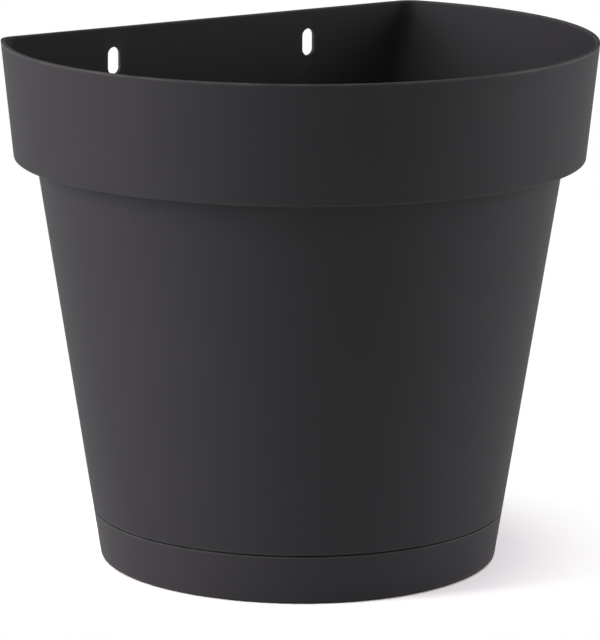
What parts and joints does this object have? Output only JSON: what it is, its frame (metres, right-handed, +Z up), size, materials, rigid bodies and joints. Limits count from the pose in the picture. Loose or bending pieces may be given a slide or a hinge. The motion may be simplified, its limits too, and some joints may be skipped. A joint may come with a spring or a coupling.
{
  "type": "wall planter",
  "caption": "Half-round wall planter with a wide collar, upright screw slots in its flat back and a flush drip saucer that pulls off below.",
  "frame": {"origin": "on the axis of the round front, at the level of the ground that the saucer stands on", "axes": "+Z up, +Y towards the wall behind the flat back, round front towards -Y, +X to the right as seen from the front"},
  "size_m": [0.2998, 0.2319, 0.266],
  "materials": {
    "pot_plastic": "matte",
    "saucer_plastic": "matte"
  },
  "bodies": {
    "pot": {"planter_body": "pot_plastic"},
    "saucer": {"drip_saucer": "saucer_plastic"}
  },
  "joints": [
    {"name": "saucer_release", "type": "slide", "parent": "pot", "child": "saucer", "axis": [0, 0, -1], "range_m": [0, 0.06]}
  ]
}
